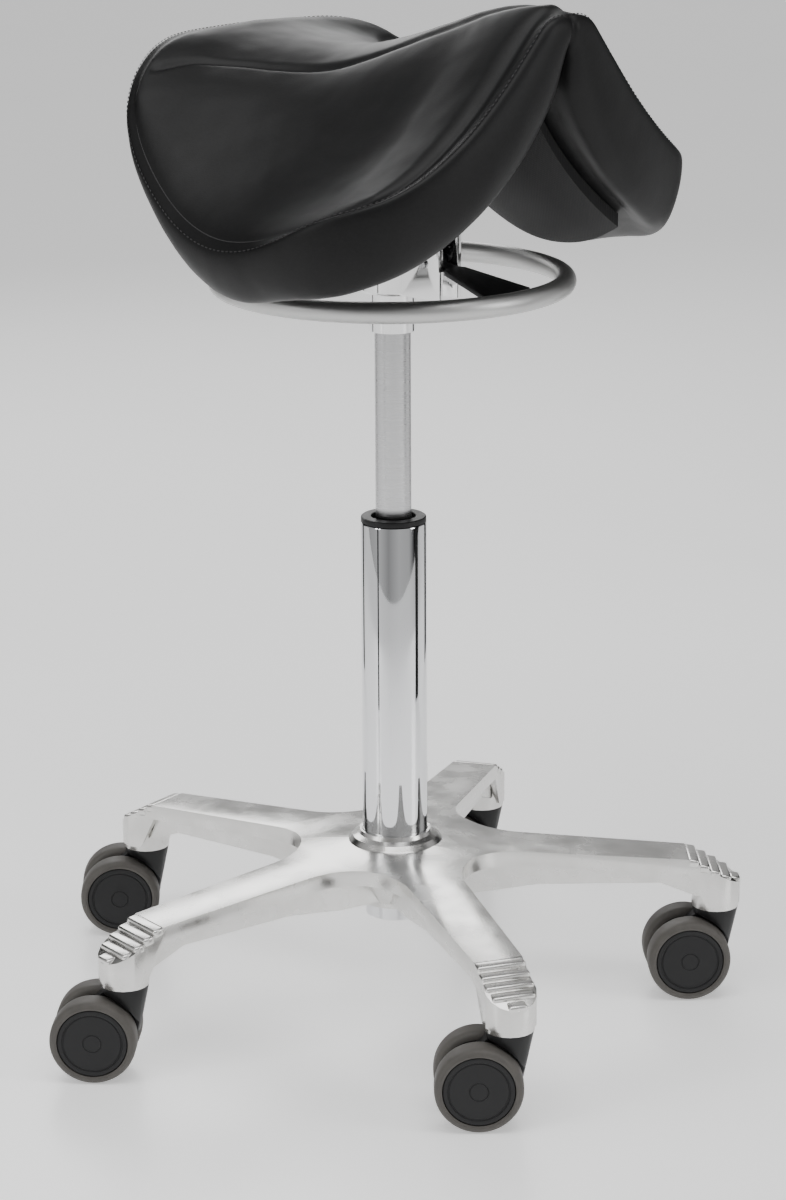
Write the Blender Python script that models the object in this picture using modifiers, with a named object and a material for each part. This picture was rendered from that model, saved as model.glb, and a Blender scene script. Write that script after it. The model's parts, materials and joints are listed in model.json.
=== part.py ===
"""Dentist saddle stool: five-leg cast base on twin-wheel castors, gas-lift column, height ring and saddle seat.

Metres, +Z up. The origin is on the floor, on the column's axis. One leg points almost along +X.
The seat faces a direction 44 degrees clockwise of +X, towards +X and -Y.
"""
import math

import bmesh
import bpy
from mathutils import Matrix, Vector

MM = 0.001
GAP = 0.3 * MM                      # between pieces that touch
FACETS = 20                         # sides of a wheel

# Castors
WHEEL_RADIUS = 32.5 * MM
WHEEL_WIDTH = 20.0 * MM
WHEEL_INNER = 6.0 * MM              # inner face of a wheel, from the castor's middle plane
HUB_RADIUS = 26.0 * MM
AXLE_RADIUS = 4.0 * MM
CASTOR_TRAIL = 22.0 * MM
CASTOR_TURNS = (3.0, -2.0, 2.0, -3.0, 0.0)      # degrees, so no two castors stand quite alike
HOOD_TOP = 70.2 * MM
STEM_RADIUS = 5.5 * MM
AXLE_HEIGHT = WHEEL_RADIUS * math.cos(math.pi / FACETS)     # stands on a flat facet

# Base
LEG_COUNT = 5
LEG_TURN = math.radians(0.86)
CASTOR_CIRCLE = 249.0 * MM
BOSS_RADIUS = 18.3 * MM
BOSS_BOTTOM = 70.5 * MM
TIP_RADIUS = 19.5 * MM
TIP_CENTRE = 248.8 * MM
LEG_HALF_ROOT = 22.0 * MM
LEG_HALF_TIP = 18.0 * MM
LEG_THICKNESS = 12.0 * MM
CROTCH_RADIUS = 50.0 * MM           # round corner between two legs
LEG_TOP = 130.5 * MM                # height of a leg's upper face carried to the column's axis
LEG_FALL = 0.074                    # how far that face falls per metre outwards
STEP_START = 226.0 * MM
STEP_FALL = 0.55
SKIRT_BOTTOM = 74.0 * MM
HUB_BORE = 25.3 * MM
HUB_LOW_BORE = 23.6 * MM

# Column
TUBE_RADIUS = 25.0 * MM
TUBE_LOW_RADIUS = 23.3 * MM
TUBE_BORE = 21.0 * MM
TUBE_TOP = 381.0 * MM
TUBE_BOTTOM = 68.0 * MM
CYLINDER_RADIUS = 13.5 * MM
CYLINDER_TOP = 592.0 * MM
CYLINDER_BOTTOM = 250.0 * MM
ROD_RADIUS = 5.0 * MM
ROD_TOP = 262.0 * MM
BUSH_TOP = 385.5 * MM

# Mechanism
SEAT_TURN = math.radians(-44.0)     # the seat's forward direction, from +X
HOUSING_BOTTOM = 556.5 * MM
HOUSING_TOP = 649.7 * MM
DRUM_RADIUS = 24.0 * MM
NOSE_END = 58.0 * MM
NOSE_WIDTH = 24.0 * MM
SLOT_WIDTH = 15.0 * MM
PIVOT_REACH = 43.0 * MM
PIVOT_HEIGHT = 583.0 * MM
PIVOT_RADIUS = 2.5 * MM
RING_HEIGHT = 565.0 * MM
RING_RADIUS = 127.8 * MM
RING_TUBE = 7.9 * MM
PADDLE_THICKNESS = 3.6 * MM
PADDLE_SLOPE = math.radians(11.5)
PIN_TOP = 598.0 * MM
SCREW_REACH = 36.0 * MM
SCREW_SIDE = 22.0 * MM

# Seat: t runs forwards and s sideways from the column's axis
SEAT_MIDDLE = 25.0 * MM             # where the seat is widest
SEAT_FRONT = 131.0 * MM             # from there to the front edge
SEAT_REAR = 166.0 * MM
SEAT_HALF_WIDTH = 190.0 * MM
CORNER_CUT = 0.2                    # share of the half sizes that the rounded corners lose
SEAT_DIP = 733.0 * MM
DIP_PLACE = -40.0 * MM
POMMEL_RISE = 44.0 * MM
CANTLE_RISE = 15.0 * MM
RIDGE_FRONT = 25.0 * MM             # radius of the seat's crest in front and behind
RIDGE_REAR = 160.0 * MM
FLANK_SLOPE = 1.45
FLANK_REACH = 360.0 * MM
SEAT_THICKNESS = 36.0 * MM
EDGE_THICKNESS = 50.0 * MM
BOLSTER_BULGE = 14.0 * MM
FRONT_BULGE = 10.0 * MM             # more of it round the front
FRONT_SWELL = 0.8                   # share of the bulge that goes up and down there
SHELL_THICKNESS = 10.0 * MM
GRID = 14


def clear_scene():
    for old in list(bpy.data.objects):
        bpy.data.objects.remove(old, do_unlink=True)
    for old in list(bpy.data.meshes):
        bpy.data.meshes.remove(old)


clear_scene()
parts = bpy.data.collections.new("dentist_stool")
cutters = bpy.data.collections.new("cutters")
bpy.context.scene.collection.children.link(parts)
bpy.context.scene.collection.children.link(cutters)


def material(name, colour, roughness, metallic=0.0):
    made = bpy.data.materials.new(name)
    made.use_nodes = True
    shader = made.node_tree.nodes["Principled BSDF"]
    shader.inputs["Base Color"].default_value = (*colour, 1.0)
    shader.inputs["Roughness"].default_value = roughness
    shader.inputs["Metallic"].default_value = metallic
    return made


def new_object(name, data, collection=parts):
    made = bpy.data.objects.new(name, data)
    collection.objects.link(made)
    return made


def dress(piece, colour, roughness, metallic=0.0, sharp=40.0):
    """Give a piece its own material and smooth shading with sharp edges kept."""
    piece.data.materials.clear()
    piece.data.materials.append(material(piece.name, colour, roughness, metallic))
    if piece.type == "MESH":
        piece.data.shade_smooth()
        piece.data.set_sharp_from_angle(angle=math.radians(sharp))
    return piece


def mesh_from(name, build, collection=parts):
    """Make an object from a function that fills a bmesh."""
    shape = bmesh.new()
    build(shape)
    bmesh.ops.recalc_face_normals(shape, faces=shape.faces)
    if shape.calc_volume(signed=True) < 0.0:
        bmesh.ops.reverse_faces(shape, faces=shape.faces)
    data = bpy.data.meshes.new(name)
    shape.to_mesh(data)
    shape.free()
    return new_object(name, data, collection)


def evaluated(piece):
    """A mesh object holding what a piece's modifiers or curve give, in the piece's place."""
    bpy.context.view_layer.update()
    depsgraph = bpy.context.evaluated_depsgraph_get()
    data = bpy.data.meshes.new_from_object(piece.evaluated_get(depsgraph))
    shape = bmesh.new()
    shape.from_mesh(data)
    bmesh.ops.remove_doubles(shape, verts=shape.verts, dist=0.01 * MM)
    shape.to_mesh(data)
    shape.free()
    name = piece.name
    place = piece.matrix_world.copy()
    collection = piece.users_collection[0]
    bpy.data.objects.remove(piece, do_unlink=True)
    made = new_object(name, data, collection)
    made.matrix_world = place
    return made


def turned(name, profile, steps=32, collection=parts):
    """Turn a closed profile of (radius, height) points round Z; it runs down its outer side."""
    data = bpy.data.meshes.new(name)
    count = len(profile)
    points = [(radius, 0.0, height) for radius, height in profile]
    closed = all(radius > 0.0 for radius, _ in profile)
    edges = [(i, i + 1) for i in range(count - 1)]
    if closed:
        edges.append((count - 1, 0))
    data.from_pydata(points, edges, [])
    made = new_object(name, data, collection)
    screw = made.modifiers.new("turn", "SCREW")
    screw.steps = steps
    screw.render_steps = steps
    screw.use_merge_vertices = True
    screw.merge_threshold = 0.00001
    screw.use_smooth_shade = True
    return evaluated(made)


def cylinder(name, radius, bottom, top, sides=24, collection=parts, far_radius=None):
    """An upright cylinder, or a cone whose upper end has far_radius."""
    def build(shape):
        upper = radius if far_radius is None else far_radius
        place = Matrix.Translation((0.0, 0.0, (bottom + top) / 2.0))
        bmesh.ops.create_cone(shape, cap_ends=True, segments=sides, radius1=radius, radius2=upper,
                              depth=top - bottom, matrix=place)
    return mesh_from(name, build, collection)


def box(name, low, high, collection=parts):
    def build(shape):
        size = [b - a for a, b in zip(low, high)]
        middle = [(a + b) / 2.0 for a, b in zip(low, high)]
        place = Matrix.Translation(middle) @ Matrix.Diagonal((*size, 1.0))
        bmesh.ops.create_cube(shape, size=1.0, matrix=place)
    return mesh_from(name, build, collection)


def outline_plate(name, points, bottom, top, collection=parts):
    """A flat outline of (x, y) points, extruded between two heights."""
    curve = bpy.data.curves.new(name, "CURVE")
    curve.dimensions = "2D"
    curve.fill_mode = "BOTH"
    curve.extrude = (top - bottom) / 2.0
    spline = curve.splines.new("POLY")
    spline.points.add(len(points) - 1)
    for point, (x, y) in zip(spline.points, points):
        point.co = (x, y, 0.0, 1.0)
    spline.use_cyclic_u = True
    made = new_object(name, curve, collection)
    made.location.z = (top + bottom) / 2.0
    made = evaluated(made)
    apply_place(made)
    return made


def apply_place(piece):
    bpy.context.view_layer.update()
    piece.data.transform(piece.matrix_world)
    piece.matrix_world = Matrix.Identity(4)


def boolean(piece, other, operation):
    """Cut or join another object; the other becomes a hidden cutter."""
    for owner in list(other.users_collection):
        owner.objects.unlink(other)
    cutters.objects.link(other)
    other.hide_render = True
    other.display_type = "WIRE"
    modifier = piece.modifiers.new(operation.lower(), "BOOLEAN")
    modifier.operation = operation
    modifier.object = other
    modifier.solver = "EXACT"


def settle(piece, keep_angle=None):
    """Apply a piece's modifiers; keep_angle melts flat faces together to save triangles."""
    made = evaluated(piece)
    if keep_angle is not None:
        shape = bmesh.new()
        shape.from_mesh(made.data)
        bmesh.ops.dissolve_limit(shape, angle_limit=math.radians(keep_angle), verts=shape.verts,
                                 edges=shape.edges)
        shape.to_mesh(made.data)
        shape.free()
    return made


def turn_about_z(piece, angle):
    piece.data.transform(Matrix.Rotation(angle, 4, "Z"))
    return piece


def arc(cx, cy, radius, start, end, count):
    """Points along an arc, angles in degrees."""
    angles = [math.radians(start + (end - start) * i / count) for i in range(count + 1)]
    return [(cx + radius * math.cos(a), cy + radius * math.sin(a)) for a in angles]


# ---------------------------------------------------------------- base

def leg_top(reach):
    """Height of a leg's upper face at a distance from the axis; it falls away at the tip."""
    beyond = max(reach - STEP_START, 0.0)
    return LEG_TOP - LEG_FALL * (reach - beyond) - STEP_FALL * beyond


def leg_angle(index):
    return LEG_TURN + 2.0 * math.pi * index / LEG_COUNT


def cut_across(shape, angle, reach):
    """Cut the whole mesh by the plane that crosses a direction at a reach from the axis."""
    geometry = list(shape.verts) + list(shape.edges) + list(shape.faces)
    normal = Vector((math.cos(angle), math.sin(angle), 0.0))
    bmesh.ops.bisect_plane(shape, geom=geometry, plane_co=normal * reach, plane_no=normal, dist=0.000001)


def star_outline():
    """The five legs in plan: tapered sides, round tips and round corners between the legs."""
    half_share = math.pi / LEG_COUNT
    far = (CROTCH_RADIUS + LEG_HALF_ROOT) / math.sin(half_share)
    crotch = arc(far * math.cos(half_share), far * math.sin(half_share), CROTCH_RADIUS, -90.0, -144.0, 5)
    side = [(TIP_CENTRE - 8.0 * MM, LEG_HALF_TIP)] + crotch
    leg = [(x, -y) for x, y in reversed(side[:-1])] + arc(TIP_CENTRE, 0.0, TIP_RADIUS, -80.0, 80.0, 8) + side
    outline = []
    for index in range(LEG_COUNT):
        cosine, sine = math.cos(leg_angle(index)), math.sin(leg_angle(index))
        outline += [(x * cosine - y * sine, x * sine + y * cosine) for x, y in leg]
    return outline


def star_plate():
    """The legs' upper plate, each leg's face falling outwards as leg_top says."""
    plate = outline_plate("base_star", star_outline(), -LEG_THICKNESS, 0.0)
    shape = bmesh.new()
    shape.from_mesh(plate.data)
    for index in range(LEG_COUNT):
        cut_across(shape, leg_angle(index) + math.pi / 2.0, 0.0)
        cut_across(shape, leg_angle(index), STEP_START)
    for vert in shape.verts:
        around = math.atan2(vert.co.y, vert.co.x) - LEG_TURN
        share = 2.0 * math.pi / LEG_COUNT
        reach = vert.co.xy.length * math.cos(around - share * round(around / share))
        if vert.co.z > -LEG_THICKNESS / 2.0:
            vert.co.z = leg_top(reach)
        elif reach > STEP_START + 1.0 * MM:
            vert.co.z = SKIRT_BOTTOM
        else:
            vert.co.z = leg_top(reach) - LEG_THICKNESS
    bmesh.ops.triangulate(shape, faces=shape.faces)
    shape.to_mesh(plate.data)
    shape.free()
    return plate


def leg_web(name):
    """The narrower rib under a leg, deep at the hub and lighter outwards."""
    half = 13.0 * MM
    reach = [(15.0, 84.0), (60.0, 86.0), (110.0, 93.0), (205.0, 93.0), (232.0, 82.0), (246.0, 82.0)]
    points = [(x * MM, z * MM) for x, z in reach]
    points += [(246.0 * MM, 100.0 * MM), (15.0 * MM, 118.0 * MM)]
    web = outline_plate(name, points, -half, half)
    web.data.transform(Matrix.Rotation(math.radians(90.0), 4, "X"))
    return web


def make_base():
    base = star_plate()
    hub = turned("base_hub", [
        (0.0, 137.0 * MM), (27.5 * MM, 137.0 * MM), (28.5 * MM, 134.0 * MM), (33.0 * MM, 132.0 * MM),
        (35.4 * MM, 129.0 * MM), (38.0 * MM, 126.0 * MM), (38.0 * MM, 100.0 * MM), (31.0 * MM, 88.0 * MM),
        (27.0 * MM, 83.0 * MM), (27.0 * MM, 79.0 * MM), (0.0, 79.0 * MM)], steps=32)
    boolean(base, hub, "UNION")
    for index in range(LEG_COUNT):
        web = leg_web(f"leg_web_{index}")
        boss = cylinder(f"leg_boss_{index}", BOSS_RADIUS, BOSS_BOTTOM, 90.0 * MM, 20)
        boss.data.transform(Matrix.Translation((CASTOR_CIRCLE, 0.0, 0.0)))
        for piece in (web, boss):
            turn_about_z(piece, leg_angle(index))
            boolean(base, piece, "UNION")
    bore = turned("hub_bore", [(0.0, 150.0 * MM), (HUB_BORE, 150.0 * MM), (HUB_BORE, 136.0 * MM),
                               (HUB_LOW_BORE, 95.5 * MM), (HUB_LOW_BORE, 60.0 * MM), (0.0, 60.0 * MM)], 32)
    boolean(base, bore, "DIFFERENCE")
    for index in range(LEG_COUNT):
        socket = cylinder(f"stem_socket_{index}", STEM_RADIUS + GAP, 60.0 * MM, 98.0 * MM, 12)
        socket.data.transform(Matrix.Translation((CASTOR_CIRCLE, 0.0, 0.0)))
        turn_about_z(socket, leg_angle(index))
        boolean(base, socket, "DIFFERENCE")
    base = settle(base, 0.5)
    return dress(base, (0.78, 0.78, 0.77), 0.28, 1.0)


# ---------------------------------------------------------------- castors

def make_castor(index):
    """One castor: hood with its stem, axle and two wheels, each a hub and a tyre."""
    angle = leg_angle(index)
    swivel = bpy.data.objects.new(f"castor_{index + 1}_swivel", None)
    parts.objects.link(swivel)
    swivel.location = (CASTOR_CIRCLE * math.cos(angle), CASTOR_CIRCLE * math.sin(angle), 0.0)
    swivel.rotation_euler.z = math.radians(CASTOR_TURNS[index])
    axle_centre = bpy.data.objects.new(f"castor_{index + 1}_axle_centre", None)
    parts.objects.link(axle_centre)
    axle_centre.parent = swivel
    axle_centre.location = (-CASTOR_TRAIL, 0.0, AXLE_HEIGHT)

    stem = turned(f"castor_{index + 1}_stem", [
        (0.0, 96.0 * MM), (4.5 * MM, 96.0 * MM), (STEM_RADIUS, 94.5 * MM),
        (STEM_RADIUS, 62.0 * MM), (0.0, 62.0 * MM)], 12)
    stem.parent = swivel
    dress(stem, (0.62, 0.62, 0.62), 0.3, 1.0)

    hood = cylinder(f"castor_{index + 1}_hood", 10.5 * MM, 34.0 * MM, HOOD_TOP, 20, far_radius=18.0 * MM)
    for side in (-1.0, 1.0):
        clearance = cylinder(f"wheel_clearance_{index}_{side:.0f}", WHEEL_RADIUS + 1.5 * MM, 5.5 * MM, 40.0 * MM, 20)
        clearance.data.transform(Matrix.Rotation(math.radians(-90.0 * side), 4, "X"))
        clearance.data.transform(Matrix.Translation((-CASTOR_TRAIL, 0.0, AXLE_HEIGHT)))
        boolean(hood, clearance, "DIFFERENCE")
    web_points = arc(-CASTOR_TRAIL * 1000.0, AXLE_HEIGHT * 1000.0, 12.0, 135.0, 315.0, 6)
    web_points += [(6.0, 38.0), (10.0, 52.0), (10.0, 66.0), (-14.0, 66.0), (-27.0, 55.0)]
    web = outline_plate(f"hood_web_{index}", [(x * MM, z * MM) for x, z in web_points], -5.4 * MM, 5.4 * MM)
    web.data.transform(Matrix.Rotation(math.radians(90.0), 4, "X"))
    boolean(hood, web, "UNION")
    hole = cylinder(f"axle_hole_{index}", AXLE_RADIUS + GAP, -20.0 * MM, 20.0 * MM, 12)
    hole.data.transform(Matrix.Rotation(math.radians(90.0), 4, "X"))
    hole.data.transform(Matrix.Translation((-CASTOR_TRAIL, 0.0, AXLE_HEIGHT)))
    boolean(hood, hole, "DIFFERENCE")
    stem_hole = cylinder(f"stem_hole_{index}", STEM_RADIUS + GAP, 62.0 * MM - GAP, 90.0 * MM, 12)
    boolean(hood, stem_hole, "DIFFERENCE")
    hood = settle(hood, 0.5)
    hood.parent = swivel
    dress(hood, (0.02, 0.02, 0.021), 0.5)

    axle = cylinder(f"castor_{index + 1}_axle", AXLE_RADIUS, -22.0 * MM, 22.0 * MM, 12)
    axle.data.transform(Matrix.Rotation(math.radians(90.0), 4, "X"))
    axle.parent = axle_centre
    dress(axle, (0.6, 0.6, 0.6), 0.35, 1.0)

    for letter, side in (("a", -1.0), ("b", 1.0)):
        outer = WHEEL_INNER + WHEEL_WIDTH
        hub = turned(f"wheel_{index + 1}{letter}_hub", [
            (AXLE_RADIUS + GAP, 22.4 * MM), (HUB_RADIUS, 24.5 * MM), (HUB_RADIUS, WHEEL_INNER + 0.5 * MM),
            (AXLE_RADIUS + GAP, WHEEL_INNER)], FACETS)
        tyre_bore = HUB_RADIUS + GAP
        tyre = turned(f"wheel_{index + 1}{letter}_tyre", [
            (tyre_bore, outer), (30.0 * MM, outer), (WHEEL_RADIUS, outer - 5.0 * MM),
            (WHEEL_RADIUS, WHEEL_INNER + 2.0 * MM), (tyre_bore, WHEEL_INNER)], FACETS)
        for piece in (hub, tyre):
            turn_about_z(piece, math.radians(180.0 / FACETS))
            piece.data.transform(Matrix.Rotation(math.radians(-90.0 * side), 4, "X"))
            piece.parent = axle_centre
        dress(hub, (0.03, 0.03, 0.032), 0.45)
        dress(tyre, (0.13, 0.125, 0.12), 0.6)


# ---------------------------------------------------------------- column

def make_column():
    tube = turned("stand_tube", [
        (TUBE_BORE, TUBE_TOP), (TUBE_RADIUS, TUBE_TOP), (TUBE_RADIUS, 136.5 * MM),
        (TUBE_LOW_RADIUS, 95.0 * MM), (TUBE_LOW_RADIUS, TUBE_BOTTOM), (ROD_RADIUS + GAP, TUBE_BOTTOM),
        (ROD_RADIUS + GAP, TUBE_BOTTOM + 4.0 * MM), (TUBE_BORE, TUBE_BOTTOM + 4.0 * MM)], 32)
    dress(tube, (0.85, 0.85, 0.86), 0.06, 1.0)
    bush = turned("guide_bush", [
        (16.7 * MM, BUSH_TOP), (24.2 * MM, BUSH_TOP), (24.7 * MM, BUSH_TOP - 1.0 * MM),
        (24.7 * MM, TUBE_TOP + GAP), (TUBE_BORE - GAP, TUBE_TOP + GAP), (TUBE_BORE - GAP, 320.0 * MM),
        (CYLINDER_RADIUS + GAP, 320.0 * MM), (CYLINDER_RADIUS + GAP, BUSH_TOP - 4.0 * MM)], 24)
    dress(bush, (0.02, 0.02, 0.021), 0.45)
    washer = turned("thrust_washer", [
        (ROD_RADIUS + GAP, 75.0 * MM), (13.0 * MM, 75.0 * MM), (13.0 * MM, TUBE_BOTTOM + 4.0 * MM + GAP),
        (ROD_RADIUS + GAP, TUBE_BOTTOM + 4.0 * MM + GAP)], 24)
    dress(washer, (0.6, 0.6, 0.6), 0.35, 1.0)
    buffer = turned("end_buffer", [
        (ROD_RADIUS + GAP, 92.0 * MM), (11.0 * MM, 92.0 * MM), (12.5 * MM, 89.0 * MM),
        (12.5 * MM, 75.0 * MM + GAP), (ROD_RADIUS + GAP, 75.0 * MM + GAP)], 20)
    dress(buffer, (0.03, 0.03, 0.03), 0.8)
    rod = turned("piston_rod", [
        (0.0, ROD_TOP), (ROD_RADIUS - 1.0 * MM, ROD_TOP), (ROD_RADIUS, ROD_TOP - 1.0 * MM),
        (ROD_RADIUS, 62.5 * MM), (0.0, 62.5 * MM)], 16)
    dress(rod, (0.75, 0.75, 0.76), 0.12, 1.0)
    clip = turned("retaining_clip", [
        (ROD_RADIUS + GAP, TUBE_BOTTOM - GAP), (10.0 * MM, TUBE_BOTTOM - GAP),
        (10.0 * MM, TUBE_BOTTOM - 2.0 * MM), (ROD_RADIUS + GAP, TUBE_BOTTOM - 2.0 * MM)], 20)
    dress(clip, (0.3, 0.3, 0.3), 0.4, 1.0)
    bore = 160.0 * MM
    cylinder_tube = turned("gas_cylinder", [
        (4.6 * MM, CYLINDER_TOP), (12.6 * MM, CYLINDER_TOP), (CYLINDER_RADIUS, CYLINDER_TOP - 30.0 * MM),
        (CYLINDER_RADIUS, CYLINDER_BOTTOM + 1.0 * MM), (CYLINDER_RADIUS - 1.0 * MM, CYLINDER_BOTTOM),
        (ROD_RADIUS + GAP, CYLINDER_BOTTOM), (ROD_RADIUS + GAP, CYLINDER_BOTTOM + bore),
        (1.0 * MM, CYLINDER_BOTTOM + bore), (1.0 * MM, CYLINDER_TOP - 16.0 * MM),
        (4.6 * MM, CYLINDER_TOP - 16.0 * MM)], 24)
    dress(cylinder_tube, (0.7, 0.7, 0.7), 0.3, 1.0)
    pin = cylinder("release_pin", 4.2 * MM, CYLINDER_TOP - 11.0 * MM, PIN_TOP, 16)
    dress(pin, (0.6, 0.6, 0.6), 0.3, 1.0)


# ---------------------------------------------------------------- mechanism

def make_mechanism():
    """Cast housing with a slotted nose, the lever that carries the ring, and its pivot pin."""
    housing = turned("mechanism_housing", [
        (0.0, HOUSING_TOP), (30.0 * MM, HOUSING_TOP), (DRUM_RADIUS, HOUSING_TOP - 14.0 * MM),
        (DRUM_RADIUS, HOUSING_BOTTOM + 2.0 * MM), (DRUM_RADIUS - 2.0 * MM, HOUSING_BOTTOM),
        (16.8 * MM, HOUSING_BOTTOM - 1.0 * MM), (16.8 * MM, 527.0 * MM), (0.0, 527.0 * MM)], 24)
    nose = box("housing_nose", (0.0, -NOSE_WIDTH / 2, HOUSING_BOTTOM + 0.5 * MM),
               (NOSE_END, NOSE_WIDTH / 2, HOUSING_TOP - 5.0 * MM))
    flange = box("housing_flange", (-48.0 * MM, -32.0 * MM, HOUSING_TOP - 6.0 * MM),
                 (52.0 * MM, 32.0 * MM, HOUSING_TOP))
    boolean(housing, nose, "UNION")
    boolean(housing, flange, "UNION")
    slot = box("housing_slot", (-9.0 * MM, -SLOT_WIDTH / 2, CYLINDER_TOP - 6.0 * MM),
               (NOSE_END + 5.0 * MM, SLOT_WIDTH / 2, 632.0 * MM))
    boolean(housing, slot, "DIFFERENCE")
    mouth = box("housing_mouth", (DRUM_RADIUS + 4.0 * MM, -SLOT_WIDTH / 2, 540.0 * MM),
                (NOSE_END + 5.0 * MM, SLOT_WIDTH / 2, 600.0 * MM))
    boolean(housing, mouth, "DIFFERENCE")
    socket = turned("cylinder_socket", [
        (0.0, CYLINDER_TOP + GAP), (12.6 * MM + GAP, CYLINDER_TOP + GAP),
        (CYLINDER_RADIUS + GAP, CYLINDER_TOP - 30.0 * MM), (CYLINDER_RADIUS + GAP, 510.0 * MM),
        (0.0, 510.0 * MM)], 24)
    boolean(housing, socket, "DIFFERENCE")
    pivot_hole = cylinder("pivot_hole", PIVOT_RADIUS + GAP, -20.0 * MM, 20.0 * MM, 12)
    pivot_hole.data.transform(Matrix.Rotation(math.radians(90.0), 4, "X"))
    pivot_hole.data.transform(Matrix.Translation((PIVOT_REACH, 0.0, PIVOT_HEIGHT)))
    boolean(housing, pivot_hole, "DIFFERENCE")
    for index, (side_t, side_s) in enumerate(((1, 1), (1, -1), (-1, 1), (-1, -1))):
        hole = cylinder(f"flange_hole_{index}", 3.3 * MM, 630.0 * MM, 660.0 * MM, 12)
        hole.data.transform(Matrix.Translation((side_t * SCREW_REACH + 2.0 * MM, side_s * SCREW_SIDE, 0.0)))
        boolean(housing, hole, "DIFFERENCE")
        screw = turned(f"seat_screw_{index + 1}", [
            (0.0, 662.0 * MM), (3.0 * MM, 662.0 * MM), (3.0 * MM, HOUSING_TOP - 6.0 * MM - GAP),
            (5.2 * MM, HOUSING_TOP - 6.0 * MM - GAP), (5.2 * MM, HOUSING_TOP - 11.0 * MM),
            (0.0, HOUSING_TOP - 11.0 * MM)], 12)
        screw.data.transform(Matrix.Translation((side_t * SCREW_REACH + 2.0 * MM, side_s * SCREW_SIDE, 0.0)))
        turn_about_z(screw, SEAT_TURN)
        dress(screw, (0.35, 0.35, 0.36), 0.35, 1.0)
    housing = settle(housing, 0.5)
    turn_about_z(housing, SEAT_TURN)
    dress(housing, (0.82, 0.82, 0.82), 0.12, 1.0)

    pivot = bpy.data.objects.new("lever_pivot", None)
    parts.objects.link(pivot)
    pivot.location = (PIVOT_REACH * math.cos(SEAT_TURN), PIVOT_REACH * math.sin(SEAT_TURN), PIVOT_HEIGHT)
    pivot.rotation_euler.z = SEAT_TURN
    pin = cylinder("lever_pin", PIVOT_RADIUS, -13.5 * MM, 13.5 * MM, 12)
    pin.data.transform(Matrix.Rotation(math.radians(90.0), 4, "X"))
    pin.parent = pivot
    dress(pin, (0.6, 0.6, 0.6), 0.25, 1.0)

    make_lever(pivot)
    bpy.ops.mesh.primitive_torus_add(major_segments=40, minor_segments=10, major_radius=RING_RADIUS,
                                     minor_radius=RING_TUBE, location=(0.0, 0.0, RING_HEIGHT))
    ring = bpy.context.active_object
    ring.name = "height_ring"
    for owner in list(ring.users_collection):
        owner.objects.unlink(ring)
    parts.objects.link(ring)
    apply_place(ring)
    ring.data.transform(Matrix.Translation(-pivot.location))
    ring.data.transform(Matrix.Rotation(-SEAT_TURN, 4, "Z"))
    ring.parent = pivot
    dress(ring, (0.6, 0.6, 0.6), 0.3, 1.0)


def make_lever(pivot):
    """The black lever: a paddle out to the ring, an eye on the pin, and a finger over the release pin."""
    edge = RING_RADIUS - RING_TUBE - 2.0 * MM
    end_arc = []
    for step in range(9):
        side = -24.0 * MM + 48.0 * MM * step / 8
        end_arc.append((math.sqrt(edge * edge - side * side) - PIVOT_REACH, side))
    neck = 6.5 * MM
    points = [(0.0, -neck), (17.0 * MM, -neck), (20.0 * MM, -11.0 * MM)] + end_arc
    points += [(20.0 * MM, 11.0 * MM), (17.0 * MM, neck), (0.0, neck)]
    half = PADDLE_THICKNESS / 2.0
    paddle = outline_plate("release_lever", points, -half, half)
    paddle.data.transform(Matrix.Rotation(PADDLE_SLOPE, 4, "Y"))
    eye = cylinder("lever_eye", 6.0 * MM, -7.0 * MM, 7.0 * MM, 16)
    eye.data.transform(Matrix.Rotation(math.radians(90.0), 4, "X"))
    boolean(paddle, eye, "UNION")
    finger_points = [(4.0, 3.0), (4.0, -3.0), (-6.0, 4.0), (-30.0, 14.0), (-37.0, PIN_TOP / MM - 583.0 + 0.3),
                     (-48.0, PIN_TOP / MM - 583.0 + 0.3), (-48.0, 21.0), (-30.0, 20.0)]
    finger = outline_plate("lever_finger", [(x * MM, z * MM) for x, z in finger_points], -5.0 * MM, 5.0 * MM)
    finger.data.transform(Matrix.Rotation(math.radians(90.0), 4, "X"))
    boolean(paddle, finger, "UNION")
    hole = cylinder("lever_hole", PIVOT_RADIUS + GAP, -20.0 * MM, 20.0 * MM, 12)
    hole.data.transform(Matrix.Rotation(math.radians(90.0), 4, "X"))
    boolean(paddle, hole, "DIFFERENCE")
    lever = settle(paddle, 0.5)
    lever.parent = pivot
    dress(lever, (0.02, 0.02, 0.021), 0.4)


# ---------------------------------------------------------------- seat

def ease(x):
    x = min(max(x, 0.0), 1.0)
    return x * x * (3.0 - 2.0 * x)


def crown(t):
    """Height of the seat's middle line: high pommel in front, shallow dip, low cantle behind."""
    front = POMMEL_RISE * ease((t - DIP_PLACE) / (190.0 * MM))
    back = max(DIP_PLACE - t, 0.0) / (104.0 * MM)
    return SEAT_DIP + front + CANTLE_RISE * back * back


def seat_top(t, s):
    """Height of the seat's upper surface: steep flanks in front, wide and nearly flat behind."""
    crest = RIDGE_FRONT + (RIDGE_REAR - RIDGE_FRONT) * ease((100.0 * MM - t) / (180.0 * MM))
    slope = FLANK_SLOPE - 1.1 * (max(40.0 * MM - t, 0.0) / (180.0 * MM)) ** 2.5
    down = math.sqrt(s * s + crest * crest) - crest
    return crown(t) - slope * down * (1.0 - down / FLANK_REACH)


def seat_plan(a, b):
    """Map the square -1..1 onto the seat's rounded outline."""
    inset = 1.0 - CORNER_CUT * (a * b) ** 2
    length = SEAT_FRONT if a > 0.0 else SEAT_REAR
    return SEAT_MIDDLE + length * a * inset, SEAT_HALF_WIDTH * b * inset


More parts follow.
